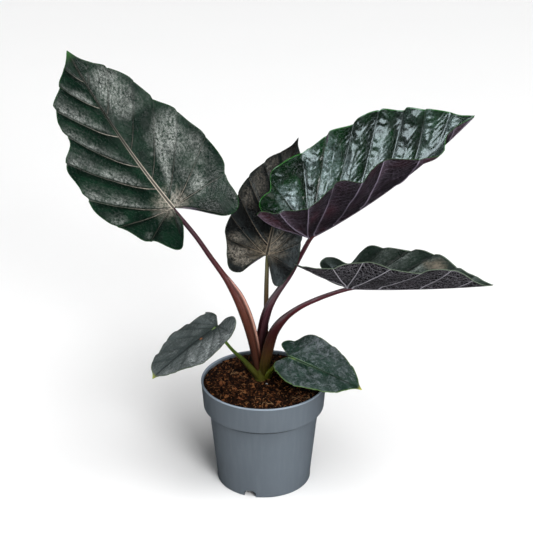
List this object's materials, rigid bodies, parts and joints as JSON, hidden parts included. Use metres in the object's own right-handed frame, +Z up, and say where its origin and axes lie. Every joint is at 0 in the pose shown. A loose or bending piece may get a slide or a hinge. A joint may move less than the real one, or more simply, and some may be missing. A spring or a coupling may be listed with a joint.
{
  "type": "african mask plant in pot",
  "caption": "Small alocasia with rippled arrow-shaped dark leaves on purple stalks, rooted in a tapered nursery pot of coir mix.",
  "frame": {"origin": "on the ground, under the middle of the box round the whole plant and pot; the pot's axis is 8 mm to -X and 39 mm to -Y of it", "axes": "+Z up along the pot's axis, +X from the upper left leaf to the right leaf, -Y the side the plant shows its face to"},
  "size_m": [0.3989, 0.1983, 0.404],
  "materials": {
    "pot": "matt slate blue, injection moulded",
    "growing_medium": "loose moist coir and bark crumb",
    "crown_and_stalks": "satin, purple to dark red, olive at the crown and on the young stalks",
    "blade_a": "dark green, waxy and rippled above, purple below",
    "blade_b": "dark green to brown, satin, rippled",
    "blade_c": "dark green, glossy and rippled above, purple below",
    "blade_d": "grey green above, purple grey below, satin",
    "blade_e": "young leaf, matt grey green",
    "blade_f": "young leaf, mottled green and grey, green margin"
  },
  "bodies": {
    "root": {"pot": "pot", "growing_medium": "growing_medium", "crown_and_stalks": "crown_and_stalks", "blade_a": "blade_a", "blade_b": "blade_b", "blade_c": "blade_c", "blade_d": "blade_d", "blade_e": "blade_e", "blade_f": "blade_f"}
  },
  "joints": []
}
